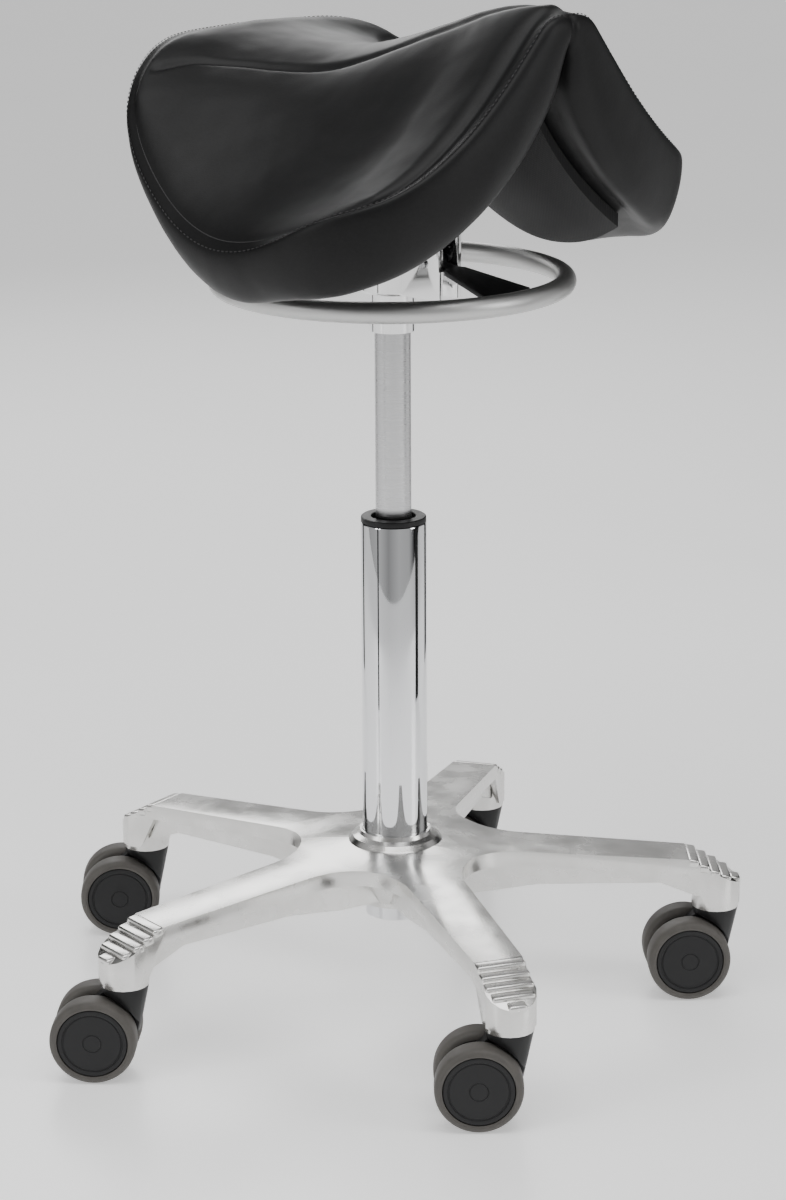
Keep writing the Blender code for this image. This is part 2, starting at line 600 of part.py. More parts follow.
def seat_point(a, b, depth):
    """A point of the cushion: depth 0 on its upper surface, 1 on its underside."""
    t, s = seat_plan(a, b)
    top = seat_top(t, s)
    share = s / (75.0 * MM)
    inwards = 68.0 * MM * share / (1.0 + share * share)
    thickness = SEAT_THICKNESS + (EDGE_THICKNESS - SEAT_THICKNESS) * (s / SEAT_HALF_WIDTH) ** 2
    low = (SEAT_MIDDLE + (t - SEAT_MIDDLE) * 0.92, s - inwards, top - thickness)
    return Vector((t, s, top)).lerp(Vector(low), depth)


def edge_direction(t, s):
    """Unit direction out of the seat's edge, along its surface."""
    x = (t - SEAT_MIDDLE) / (SEAT_FRONT if t > SEAT_MIDDLE else SEAT_REAR)
    y = s / SEAT_HALF_WIDTH
    plan = Vector((math.copysign(x * x, x), math.copysign(y * y, y))).normalized() * MM
    rise = seat_top(t + plan.x, s + plan.y) - seat_top(t - plan.x, s - plan.y)
    return Vector((plan.x, plan.y, rise / 2.0)).normalized()


def saddle_solid(name, inner, top_depth, bottom_depth, drop, bulge, collection=parts):
    """A closed saddle-shaped slab on the seat's grid; inner leaves out that many rows at the edge."""
    count = GRID - 2 * inner

    def build(shape):
        bmesh.ops.create_grid(shape, x_segments=count, y_segments=count, size=1.0)
        for vert in shape.verts:
            vert.co.z = 1.0
        bottom = bmesh.ops.extrude_face_region(shape, geom=list(shape.faces), use_keep_orig=True)
        moved = [item for item in bottom["geom"] if isinstance(item, bmesh.types.BMVert)]
        for vert in moved:
            vert.co.z = 0.0
        rim = [edge for edge in shape.edges if abs(edge.verts[0].co.z - edge.verts[1].co.z) > 0.5]
        if bulge > 0.0:
            bmesh.ops.subdivide_edges(shape, edges=rim, cuts=2)
        scale = count / GRID
        for vert in shape.verts:
            level = 1.0 - vert.co.z
            a, b = vert.co.x * scale, vert.co.y * scale
            place = seat_point(a, b, top_depth + (bottom_depth - top_depth) * level)
            place.z -= drop[0] + (drop[1] - drop[0]) * level
            if bulge > 0.0 and 0.01 < level < 0.99:
                t, s = seat_plan(a, b)
                front = ease((t - 40.0 * MM) / (75.0 * MM))
                push = (bulge + FRONT_BULGE * front) * (1.0 if level < 0.5 else 0.9)
                swell = FRONT_SWELL * front * push * ease(abs(s) / (30.0 * MM)) * math.cos(math.pi * level)
                place += edge_direction(t, s) * push + Vector((0.0, 0.0, swell))
            vert.co = place
    return mesh_from(name, build, collection)


def make_seat():
    cushion = saddle_solid("seat_cushion", 0, 0.0, 1.0, (0.0, 0.0), BOLSTER_BULGE)
    turn_about_z(cushion, SEAT_TURN)
    dress(cushion, (0.012, 0.012, 0.013), 0.5, sharp=60.0)

    shell = saddle_solid("seat_shell", 1, 1.0, 1.0, (1.0 * MM, 1.0 * MM + SHELL_THICKNESS), 0.0)
    above = saddle_solid("above_shell", 1, 1.0, 1.0, (6.0 * MM, -150.0 * MM), 0.0, cutters)
    pad = box("shell_pad", (-44.0 * MM, -30.0 * MM, HOUSING_TOP + GAP), (48.0 * MM, 30.0 * MM, 740.0 * MM))
    boolean(pad, above, "DIFFERENCE")
    pad = settle(pad)
    boolean(shell, pad, "UNION")
    for index, (side_t, side_s) in enumerate(((1, 1), (1, -1), (-1, 1), (-1, -1))):
        hole = cylinder(f"pad_hole_{index}", 3.3 * MM, 640.0 * MM, 663.0 * MM, 12)
        hole.data.transform(Matrix.Translation((side_t * SCREW_REACH + 2.0 * MM, side_s * SCREW_SIDE, 0.0)))
        boolean(shell, hole, "DIFFERENCE")
    shell = settle(shell, 0.2)
    turn_about_z(shell, SEAT_TURN)
    dress(shell, (0.03, 0.03, 0.03), 0.55, sharp=50.0)


make_base()
for castor in range(LEG_COUNT):
    make_castor(castor)
make_column()
make_mechanism()
make_seat()
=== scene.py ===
"""Finished look of a dentist's saddle stool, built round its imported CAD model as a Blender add-on."""
import json
import math

import bmesh
import bpy
import numpy as np
from bpy.props import FloatProperty, FloatVectorProperty, IntProperty, PointerProperty
from mathutils import Matrix, Vector, noise


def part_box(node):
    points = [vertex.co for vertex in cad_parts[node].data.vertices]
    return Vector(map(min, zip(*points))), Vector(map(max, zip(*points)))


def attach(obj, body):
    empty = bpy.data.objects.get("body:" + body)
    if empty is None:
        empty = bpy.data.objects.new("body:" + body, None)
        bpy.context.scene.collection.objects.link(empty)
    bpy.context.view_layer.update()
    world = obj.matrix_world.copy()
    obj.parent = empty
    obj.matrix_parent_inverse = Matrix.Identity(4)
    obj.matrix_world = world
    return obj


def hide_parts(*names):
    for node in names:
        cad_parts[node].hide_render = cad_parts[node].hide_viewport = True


bl_info = {
    "name": "Saddle stool",
    "version": (1, 0, 0),
    "blender": (4, 5, 0),
    "location": "3D View > Sidebar > Stool",
    "description": "Models and finishes a saddle stool on a five-leg castor base",
    "category": "Add Mesh",
}

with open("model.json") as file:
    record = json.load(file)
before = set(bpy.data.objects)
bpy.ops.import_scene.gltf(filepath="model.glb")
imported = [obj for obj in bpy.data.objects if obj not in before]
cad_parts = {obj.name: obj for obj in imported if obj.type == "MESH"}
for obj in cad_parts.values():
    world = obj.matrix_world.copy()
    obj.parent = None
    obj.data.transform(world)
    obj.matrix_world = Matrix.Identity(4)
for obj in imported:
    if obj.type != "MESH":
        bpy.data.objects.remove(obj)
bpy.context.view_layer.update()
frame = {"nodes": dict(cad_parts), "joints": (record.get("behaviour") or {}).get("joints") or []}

MM = 0.001
UP = Vector((0.0, 0.0, 1.0))
CASTORS = range(1, 6)
LEG_TURN = math.radians(0.86)
LEG_STEP = 2.0 * math.pi / 5.0
SEAT_TURN = math.radians(-44.0)
SEAT_SPIN = Matrix.Rotation(SEAT_TURN, 4, "Z")
SEAT_MIDDLE = 25.0 * MM
SEAT_FRONT = 131.0 * MM
SEAT_REAR = 166.0 * MM
SEAT_HALF_WIDTH = 190.0 * MM
LEG_KNEE = 226.0 * MM
THREAD_WIDTH = 0.85 * MM
THREAD_THICKNESS = 0.7 * MM
CAMERA_YAW = 0.0003
CAMERA_ROLL = 0.005


def joint_place(name):
    """A joint's point and axis."""
    joint = next(item for item in frame["joints"] if item["name"] == name)
    return Vector(joint.get("pos_m", (0.0, 0.0, 0.0))), Vector(joint["axis"])


# ---------------------------------------------------------------- settings

class StoolSeatSettings(bpy.types.PropertyGroup):
    leather: FloatVectorProperty(name="Leatherette", description="Colour of the cover, as sRGB",
                                 subtype="COLOR_GAMMA", default=(0.047, 0.047, 0.051))
    grain: FloatProperty(name="Grain", description="Width of one grain of the cover",
                         subtype="DISTANCE", default=0.9 * MM)
    stitch_pitch: FloatProperty(name="Stitch pitch", description="From one stitch to the next",
                                subtype="DISTANCE", default=4.2 * MM)
    stitch_length: FloatProperty(name="Stitch length", description="The part of a stitch that shows",
                                 subtype="DISTANCE", default=2.9 * MM)
    seam_depth: FloatProperty(name="Seam depth", description="How far a seam pulls the cover in",
                              subtype="DISTANCE", default=3.2 * MM)
    bulge: FloatProperty(name="Bolster bulge", description="How far the side bolster stands out",
                         subtype="DISTANCE", default=14.0 * MM)
    detail: IntProperty(name="Detail", description="Squares along one side of the cover", default=128)


class StoolBaseSettings(bpy.types.PropertyGroup):
    edge: FloatProperty(name="Cast edge", description="Rounding of the casting's edges",
                        subtype="DISTANCE", default=1.8 * MM)
    steps: IntProperty(name="Tread steps", description="Ribs across each leg's end", default=5)
    tyre: FloatVectorProperty(name="Tyre", description="Colour of the treads, as sRGB",
                              subtype="COLOR_GAMMA", default=(0.341, 0.329, 0.314))


class StoolStageSettings(bpy.types.PropertyGroup):
    lens: FloatProperty(name="Lens", description="Focal length on a 36 mm sensor", default=99.0)
    distance: FloatProperty(name="Distance", description="From the column to the camera, level",
                            subtype="DISTANCE", default=2.4026)
    height: FloatProperty(name="Height", description="The camera above the floor",
                          subtype="DISTANCE", default=1.0125)
    pitch: FloatProperty(name="Pitch", description="How far the camera looks down",
                         subtype="ANGLE", default=0.281)


# ---------------------------------------------------------------- materials

def linear(channel):
    """One sRGB channel as a linear value."""
    return channel / 12.92 if channel <= 0.04045 else ((channel + 0.055) / 1.055) ** 2.4


def colour(value):
    """Linear RGBA from a hex string or an sRGB triple."""
    if isinstance(value, str):
        value = [int(value[i:i + 2], 16) / 255.0 for i in (1, 3, 5)]
    return (*(linear(channel) for channel in value), 1.0)


def add_node(tree, kind, inputs=None, **settings):
    """Add a node; an input takes a value or another node's output."""
    made = tree.nodes.new(kind)
    for name, value in settings.items():
        setattr(made, name, value)
    for name, value in (inputs or {}).items():
        if isinstance(value, bpy.types.NodeSocket):
            tree.links.new(value, made.inputs[name])
        else:
            made.inputs[name].default_value = value
    return made


def new_material(name, tint, roughness, metallic=0.0, **sockets):
    """A Principled material; uniform values go straight on its sockets."""
    made = bpy.data.materials.get(name)
    if made:
        return made, None, None
    made = bpy.data.materials.new(name)
    made.use_nodes = True
    shader = made.node_tree.nodes["Principled BSDF"]
    shader.inputs["Base Color"].default_value = colour(tint)
    shader.inputs["Roughness"].default_value = roughness
    shader.inputs["Metallic"].default_value = metallic
    for socket, value in sockets.items():
        shader.inputs[socket.replace("_", " ")].default_value = value
    made.diffuse_color = colour(tint)
    return made, made.node_tree, shader


def place_output(tree, scale=(1.0, 1.0, 1.0)):
    """Object coordinates, scaled."""
    where = add_node(tree, "ShaderNodeTexCoord")
    mapping = add_node(tree, "ShaderNodeMapping", {"Vector": where.outputs["Object"], "Scale": scale})
    return mapping.outputs["Vector"]


def shaded(tint, share):
    """A tint brought down to a share of itself."""
    return [channel * share for channel in tint]


def vary_roughness(tree, shader, texture, low, high):
    """Let a texture move the roughness between two values."""
    spread = add_node(tree, "ShaderNodeMapRange", {"Value": texture, "From Min": 0.3, "From Max": 0.7,
                                                   "To Min": low, "To Max": high})
    tree.links.new(spread.outputs["Result"], shader.inputs["Roughness"])


def vary_colour(tree, shader, texture, dark, light):
    """Let a texture move the colour between two shades."""
    ramp = add_node(tree, "ShaderNodeValToRGB", {"Fac": texture})
    ramp.color_ramp.elements[0].position = 0.3
    ramp.color_ramp.elements[1].position = 0.7
    ramp.color_ramp.elements[0].color = colour(dark)
    ramp.color_ramp.elements[1].color = colour(light)
    tree.links.new(ramp.outputs["Color"], shader.inputs["Base Color"])


def bump(tree, shader, height, distance, strength=1.0, under=None):
    """Raise the surface by a texture, on top of an earlier bump if there is one."""
    made = add_node(tree, "ShaderNodeBump", {"Height": height, "Distance": distance, "Strength": strength})
    if under is not None:
        tree.links.new(under.outputs["Normal"], made.inputs["Normal"])
    tree.links.new(made.outputs["Normal"], shader.inputs["Normal"])
    return made


def cast_aluminium():
    """Gravity-cast aluminium, linished then tumbled: a soft sheen with faint marks 1 to 2 mm long."""
    made, tree, shader = new_material("cast aluminium", "#DCDBD8", 0.24, 1.0)
    if tree:
        cloud = add_node(tree, "ShaderNodeTexNoise",
                         {"Vector": place_output(tree), "Scale": 38.0, "Detail": 4.0})
        marks = add_node(tree, "ShaderNodeTexNoise", {"Vector": place_output(tree, (1.0, 1.0, 0.35)),
                                                      "Scale": 620.0, "Detail": 3.0})
        vary_roughness(tree, shader, cloud.outputs["Fac"], 0.17, 0.33)
        vary_colour(tree, shader, cloud.outputs["Fac"], "#D2D1CE", "#E4E3E1")
        bump(tree, shader, marks.outputs["Fac"], 0.05 * MM, 0.5)
    return made


def polished_aluminium():
    """Mirror-polished casting: sharp reflections with a slight waviness 20 mm across."""
    made, tree, shader = new_material("polished aluminium", "#E2E2E2", 0.1, 1.0)
    if tree:
        wave = add_node(tree, "ShaderNodeTexNoise",
                        {"Vector": place_output(tree), "Scale": 50.0, "Detail": 1.0})
        vary_roughness(tree, shader, wave.outputs["Fac"], 0.07, 0.15)
        bump(tree, shader, wave.outputs["Fac"], 0.06 * MM, 0.35)
    return made


def chrome_plate():
    """Bright chrome on drawn tube: a clean mirror, dulled by a haze too fine to see singly."""
    made, tree, shader = new_material("chrome plate", "#E9EAEC", 0.04, 1.0)
    if tree:
        haze = add_node(tree, "ShaderNodeTexNoise",
                        {"Vector": place_output(tree), "Scale": 24.0, "Detail": 2.0})
        vary_roughness(tree, shader, haze.outputs["Fac"], 0.025, 0.06)
    return made


def ground_steel():
    """Centreless-ground steel: fine rings round the bar, drawn 0.5 mm apart so that they show."""
    made, tree, shader = new_material("ground steel", "#BFBFC0", 0.3, 1.0, Anisotropic=0.5)
    if tree:
        rings = add_node(tree, "ShaderNodeTexNoise", {"Vector": place_output(tree, (0.02, 0.02, 1.0)),
                                                      "Scale": 2000.0, "Detail": 3.0})
        vary_roughness(tree, shader, rings.outputs["Fac"], 0.22, 0.38)
        bump(tree, shader, rings.outputs["Fac"], 0.03 * MM, 0.3)
    return made


def brushed_stainless():
    """Bent stainless tube, satin brushed: a broad soft highlight with fine scratches."""
    made, tree, shader = new_material("brushed stainless", "#BDBDBC", 0.42, 1.0)
    if tree:
        scratch = add_node(tree, "ShaderNodeTexNoise", {"Vector": place_output(tree, (1.0, 1.0, 6.0)),
                                                        "Scale": 260.0, "Detail": 4.0})
        vary_roughness(tree, shader, scratch.outputs["Fac"], 0.38, 0.46)
        bump(tree, shader, scratch.outputs["Fac"], 0.02 * MM, 0.15)
    return made


def moulded_nylon():
    """Injection-moulded glass-filled nylon: near black, with a spark-eroded grain 0.4 mm across."""
    made, tree, shader = new_material("moulded nylon", "#121213", 0.42, Specular_IOR_Level=0.35)
    if tree:
        grain = add_node(tree, "ShaderNodeTexNoise",
                         {"Vector": place_output(tree), "Scale": 2500.0, "Detail": 2.0})
        cloud = add_node(tree, "ShaderNodeTexNoise",
                         {"Vector": place_output(tree), "Scale": 45.0, "Detail": 3.0})
        vary_roughness(tree, shader, cloud.outputs["Fac"], 0.36, 0.5)
        vary_colour(tree, shader, cloud.outputs["Fac"], "#0E0E0F", "#161617")
        bump(tree, shader, grain.outputs["Fac"], 0.04 * MM, 0.5)
    return made


def wheel_plastic():
    """Wheel centres moulded in polyamide: charcoal, eggshell, with a fine even grain."""
    made, tree, shader = new_material("wheel plastic", "#1C1C1D", 0.5, Specular_IOR_Level=0.35)
    if tree:
        grain = add_node(tree, "ShaderNodeTexNoise",
                         {"Vector": place_output(tree), "Scale": 1800.0, "Detail": 2.0})
        cloud = add_node(tree, "ShaderNodeTexNoise",
                         {"Vector": place_output(tree), "Scale": 60.0, "Detail": 3.0})
        vary_roughness(tree, shader, cloud.outputs["Fac"], 0.44, 0.58)
        vary_colour(tree, shader, cloud.outputs["Fac"], "#181819", "#202021")
        bump(tree, shader, grain.outputs["Fac"], 0.05 * MM, 0.5)
    return made


def tread_rubber(tint):
    """Soft polyurethane tread: warm grey and matt, slightly scuffed."""
    made, tree, shader = new_material("tread polyurethane", tint, 0.55, Specular_IOR_Level=0.4)
    if tree:
        scuff = add_node(tree, "ShaderNodeTexNoise", {"Vector": place_output(tree), "Scale": 90.0,
                                                      "Detail": 6.0, "Roughness": 0.65})
        vary_roughness(tree, shader, scuff.outputs["Fac"], 0.46, 0.66)
        vary_colour(tree, shader, scuff.outputs["Fac"], shaded(tint, 0.86), tint)
        bump(tree, shader, scuff.outputs["Fac"], 0.08 * MM, 0.3)
    return made


def leatherette(tint, grain_width):
    """PU-coated upholstery cloth: black, half matt, finely pebbled, with a gloss that changes slowly."""
    made, tree, shader = new_material("leatherette", tint, 0.46, Specular_IOR_Level=0.23)
    if tree:
        place = place_output(tree)
        pebble = add_node(tree, "ShaderNodeTexVoronoi", {"Vector": place, "Scale": 1.0 / grain_width},
                          feature="SMOOTH_F1")
        pores = add_node(tree, "ShaderNodeTexNoise",
                         {"Vector": place, "Scale": 0.35 / grain_width, "Detail": 4.0})
        cloud = add_node(tree, "ShaderNodeTexNoise", {"Vector": place, "Scale": 9.0, "Detail": 3.0})
        vary_roughness(tree, shader, cloud.outputs["Fac"], 0.41, 0.51)
        vary_colour(tree, shader, pores.outputs["Fac"], shaded(tint, 0.58), tint)
        first = bump(tree, shader, pebble.outputs["Distance"], 0.12 * MM, 0.35)
        bump(tree, shader, pores.outputs["Fac"], 0.1 * MM, 0.3, under=first)
    return made


def bonded_thread():
    """Bonded polyester thread: black, with a twist too fine to show, so only a dull sheen."""
    made, tree, shader = new_material("bonded thread", "#232324", 0.6)
    if tree:
        twist = add_node(tree, "ShaderNodeTexNoise", {"Vector": place_output(tree), "Scale": 1500.0})
        bump(tree, shader, twist.outputs["Fac"], 0.05 * MM, 0.6)
    return made


def lining_cloth():
    """Woven lining under the seat: matt black, threads drawn 2 mm apart so that they show."""
    made, tree, shader = new_material("lining cloth", "#121213", 0.85)
    if tree:
        place = place_output(tree)
        weave = add_node(tree, "ShaderNodeTexWave", {"Vector": place, "Scale": 160.0, "Distortion": 0.4})
        cross = add_node(tree, "ShaderNodeTexWave", {"Vector": place, "Scale": 160.0, "Distortion": 0.4},
                         bands_direction="Y")
        both = add_node(tree, "ShaderNodeMath", {0: weave.outputs["Fac"], 1: cross.outputs["Fac"]},
                        operation="MULTIPLY")
        bump(tree, shader, both.outputs["Value"], 0.2 * MM, 0.6)
    return made


def zinc_plate():
    """Zinc-plated steel hardware: grey, a little cloudy."""
    made, tree, shader = new_material("zinc plate", "#A9ABAD", 0.35, 1.0)
    if tree:
        cloud = add_node(tree, "ShaderNodeTexNoise",
                         {"Vector": place_output(tree), "Scale": 220.0, "Detail": 4.0})
        vary_roughness(tree, shader, cloud.outputs["Fac"], 0.28, 0.45)
        vary_colour(tree, shader, cloud.outputs["Fac"], "#9C9EA0", "#B4B6B7")
    return made


def buffer_rubber():
    """Moulded rubber bump stop: dead matt black."""
    made, tree, shader = new_material("buffer rubber", "#1A1A1A", 0.8)
    if tree:
        cloud = add_node(tree, "ShaderNodeTexNoise",
                         {"Vector": place_output(tree), "Scale": 300.0, "Detail": 3.0})
        vary_roughness(tree, shader, cloud.outputs["Fac"], 0.72, 0.88)
    return made


# ---------------------------------------------------------------- modelling

def only(piece):
    """Select one object alone and make it active."""
    bpy.ops.object.select_all(action="DESELECT")
    piece.select_set(True)
    bpy.context.view_layer.objects.active = piece


def settle(piece, place=None):
    """Put a piece's place in its mesh."""
    only(piece)
    if place is not None:
        piece.matrix_world = place
    bpy.ops.object.transform_apply(location=True, rotation=True, scale=True)


def finish_piece(piece, name, body, finish, replaced=(), angle=35.0):
    """Name, shade and dress a piece, and let it ride on its body."""
    piece.name = name
    piece.data.name = name
    only(piece)
    bpy.ops.object.shade_smooth_by_angle(angle=math.radians(angle))
    piece.data.materials.clear()
    piece.data.materials.append(finish)
    if replaced:
        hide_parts(*replaced)
    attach(piece, body)
    return piece


def turn_profile(profile, sides=72):
    """Grow a ring of edges along a profile of (radius, height) points; ends that differ are capped."""
    bpy.ops.object.select_all(action="DESELECT")
    radius, height = profile[0]
    bpy.ops.mesh.primitive_circle_add(vertices=sides, radius=radius, location=(0.0, 0.0, height))
    piece = bpy.context.active_object
    settle(piece)
    bpy.ops.object.mode_set(mode="EDIT")
    bpy.ops.mesh.select_all(action="SELECT")
    for next_radius, next_height in profile[1:]:
        bpy.ops.mesh.extrude_edges_move(TRANSFORM_OT_translate={"value": (0.0, 0.0, next_height - height)})
        ratio = next_radius / radius
        bpy.ops.transform.resize(value=(ratio, ratio, 1.0), center_override=(0.0, 0.0, next_height))
        radius, height = next_radius, next_height
    bpy.ops.mesh.select_all(action="SELECT")
    if profile[0] == profile[-1]:
        bpy.ops.mesh.remove_doubles(threshold=0.001 * MM)
    else:
        bpy.ops.mesh.fill_holes(sides=0)
    bpy.ops.mesh.select_all(action="SELECT")
    bpy.ops.mesh.normals_make_consistent(inside=False)
    bpy.ops.object.mode_set(mode="OBJECT")
    return piece


def copied(piece, place):
    """A copy of a piece with its own mesh, at another place."""
    made = bpy.data.objects.new(piece.name, piece.data.copy())
    bpy.context.scene.collection.objects.link(made)
    settle(made, place)
    return made


def softened_copy(node, edge, segments=2, limit=28.0):
    """A CAD node's shape, merged and with its edges rounded."""
    bpy.ops.object.select_all(action="DESELECT")
    made = bpy.data.objects.new(node, frame["nodes"][node].data.copy())
    bpy.context.scene.collection.objects.link(made)
    only(made)
    bpy.ops.object.mode_set(mode="EDIT")
    bpy.ops.mesh.select_all(action="SELECT")
    bpy.ops.mesh.remove_doubles(threshold=0.02 * MM)
    bpy.ops.mesh.dissolve_limited(angle_limit=math.radians(0.8))
    bpy.ops.mesh.normals_make_consistent(inside=False)
    bpy.ops.object.mode_set(mode="OBJECT")
    rounding = made.modifiers.new("rounding", "BEVEL")
    rounding.width = edge
    rounding.segments = segments
    rounding.limit_method = "ANGLE"
    rounding.angle_limit = math.radians(limit)
    bpy.ops.object.modifier_apply(modifier=rounding.name)
    return made


def rounded_box(low, high, edge, segments=3):
    """A box from one corner to the other, bevelled in edit mode."""
    bpy.ops.object.select_all(action="DESELECT")
    low, high = Vector(low), Vector(high)
    bpy.ops.mesh.primitive_cube_add(size=1.0, location=(low + high) / 2.0)
    piece = bpy.context.active_object
    piece.scale = high - low
    settle(piece)
    bpy.ops.object.mode_set(mode="EDIT")
    bpy.ops.mesh.select_all(action="SELECT")
    bpy.ops.mesh.bevel(offset=edge, segments=segments, affect="EDGES")
    bpy.ops.object.mode_set(mode="OBJECT")
    return piece


# ---------------------------------------------------------------- base

def castor_place(index):
    """A castor's stem axis on the floor, its turn, and its axle's centre."""
    stem, _ = joint_place(f"castor_{index}_swivel")
    axle, axis = joint_place(f"wheel_{index}a_roll")
    return Vector((stem.x, stem.y, 0.0)), math.atan2(-axis.x, axis.y), axle


def leg_top(reach):
    """Height of the leg's upper face, read from the casting's own slopes."""
    return 130.5 * MM - 0.074 * min(reach, LEG_KNEE) - 0.55 * max(reach - LEG_KNEE, 0.0)


class STOOL_OT_base(bpy.types.Operator):
    """Model the cast star, with rounded edges and ribbed leg ends"""
    bl_idname = "stool.base"
    bl_label = "Star base"

    def execute(self, context):
        settings = context.scene.stool_base
        star = softened_copy("base_star", settings.edge, segments=3, limit=24.0)
        finish_piece(star, "star_casting", "base", cast_aluminium(), ["base_star"], 30.0)
        pitch = 8.4 * MM
        for leg in range(5):
            turn = Matrix.Rotation(LEG_TURN + LEG_STEP * leg, 4, "Z")
            for step in range(settings.steps):
                reach = 230.0 * MM + pitch * step
                beyond = max(reach - 246.0 * MM, 0.0)
                half = math.sqrt(max((19.2 * MM) ** 2 - beyond ** 2, 0.0)) - 0.6 * MM
                rib = rounded_box((-4.6 * MM, -half, -4.0 * MM), (4.4 * MM, half, 2.6 * MM),
                                  2.1 * MM, segments=4)
                place = Matrix.Translation((reach, 0.0, leg_top(reach) - 0.9 * MM))
                settle(rib, turn @ place @ Matrix.Rotation(0.17, 4, "Y"))
                finish_piece(rib, f"leg_{leg + 1}_rib_{step + 1}", "base",
                             cast_aluminium())
        return {"FINISHED"}


class STOOL_OT_castors(bpy.types.Operator):
    """Model the castors: hoods, treads and wheel centres"""
    bl_idname = "stool.castors"
    bl_label = "Castors"

    def execute(self, context):
        tread = tread_rubber(context.scene.stool_base.tyre)
        _, _, axle = castor_place(1)
        radius = axle.z
        inner, outer = 6.0 * MM, 26.0 * MM
        bore = 26.3 * MM
        tyre = turn_profile([
            (bore, outer - 0.8 * MM), (radius - 4.2 * MM, outer), (radius - 2.2 * MM, outer - 0.5 * MM),
            (radius - 0.9 * MM, outer - 1.7 * MM), (radius - 0.2 * MM, outer - 3.6 * MM),
            (radius, outer - 6.5 * MM), (radius, inner + 5.0 * MM), (radius - 0.4 * MM, inner + 2.6 * MM),
            (radius - 1.6 * MM, inner + 0.9 * MM), (radius - 3.4 * MM, inner), (bore, inner),
            (bore, outer - 0.8 * MM)], 96)
        disc = turn_profile([
            (4.4 * MM, inner + 0.2 * MM), (20.0 * MM, inner + 0.2 * MM), (25.9 * MM, inner + 0.8 * MM),
            (25.9 * MM, 24.2 * MM), (25.4 * MM, 24.9 * MM), (24.2 * MM, 25.1 * MM), (22.6 * MM, 24.9 * MM),
            (22.2 * MM, 24.2 * MM), (21.4 * MM, 24.2 * MM), (21.0 * MM, 24.7 * MM), (12.0 * MM, 25.0 * MM),
            (7.2 * MM, 25.1 * MM), (6.9 * MM, 24.7 * MM), (6.4 * MM, 24.7 * MM), (6.1 * MM, 25.1 * MM),
            (1.0 * MM, 25.2 * MM)], 72)
        for index in CASTORS:
            _, turn, axle = castor_place(index)
            for letter, side in (("a", -1.0), ("b", 1.0)):
                upright = Matrix.Rotation(math.radians(-90.0 * side), 4, "X")
                place = Matrix.Translation(axle) @ Matrix.Rotation(turn, 4, "Z") @ upright
                body = f"wheel_{index}{letter}"
                finish_piece(copied(tyre, place), f"tread_{index}{letter}", body, tread,
                             [f"{body}_tyre"])
                finish_piece(copied(disc, place), f"wheel_centre_{index}{letter}", body,
                             wheel_plastic(), [f"{body}_hub"], 25.0)
            hood = softened_copy(f"castor_{index}_hood", 0.9 * MM)
            finish_piece(hood, f"castor_hood_{index}", f"castor_{index}", moulded_nylon(),
                         [f"castor_{index}_hood"], 40.0)
        for master in (tyre, disc):
            bpy.data.objects.remove(master, do_unlink=True)
        return {"FINISHED"}


# ---------------------------------------------------------------- column and mechanism

class STOOL_OT_column(bpy.types.Operator):
    """Model the chromed column, its guide bush and the gas spring's cylinder"""
    bl_idname = "stool.column"
    bl_label = "Column"

    def execute(self, context):
        low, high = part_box("stand_tube")
        radius = high.x
        bore = radius - 4.0 * MM
        tube = turn_profile([
            (bore, high.z - 0.4 * MM), (bore + 0.5 * MM, high.z), (radius - 0.9 * MM, high.z),
            (radius - 0.25 * MM, high.z - 0.25 * MM), (radius, high.z - 0.9 * MM), (radius, 136.5 * MM),
            (radius - 1.7 * MM, 95.0 * MM), (radius - 1.7 * MM, low.z + 0.6 * MM),
            (radius - 2.3 * MM, low.z), (5.3 * MM, low.z), (5.3 * MM, low.z + 4.0 * MM),
            (bore, low.z + 4.0 * MM), (bore, high.z - 0.4 * MM)], 128)
        finish_piece(tube, "column_tube", "base", chrome_plate(), ["stand_tube"], 25.0)

        low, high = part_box("guide_bush")
        rim = high.x
        top = high.z
        bush = turn_profile([
            (16.7 * MM, top - 0.5 * MM), (17.2 * MM, top), (rim - 0.9 * MM, top),
            (rim - 0.2 * MM, top - 0.5 * MM), (rim, top - 1.2 * MM), (rim, top - 4.0 * MM),
            (20.7 * MM, top - 4.2 * MM), (20.7 * MM, low.z), (13.9 * MM, low.z),
            (13.9 * MM, top - 3.4 * MM), (16.1 * MM, top - 3.4 * MM),
            (16.7 * MM, top - 0.5 * MM)], 96)
        finish_piece(bush, "bush_ring", "base", moulded_nylon(), ["guide_bush"], 25.0)

        low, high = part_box("gas_cylinder")
        radius = 13.5 * MM
        spring = turn_profile([
            (4.7 * MM, high.z - 0.2 * MM), (12.2 * MM, high.z), (12.6 * MM, high.z - 0.6 * MM),
            (radius, high.z - 30.0 * MM), (radius, low.z + 2.0 * MM), (radius - 0.6 * MM, low.z + 0.6 * MM),
            (radius - 2.0 * MM, low.z), (5.4 * MM, low.z), (5.4 * MM, low.z + 150.0 * MM),
            (4.7 * MM, high.z - 14.0 * MM), (4.7 * MM, high.z - 0.2 * MM)], 96)
        finish_piece(spring, "spring_cylinder", "lift", ground_steel(),
                     ["gas_cylinder"], 25.0)
        return {"FINISHED"}


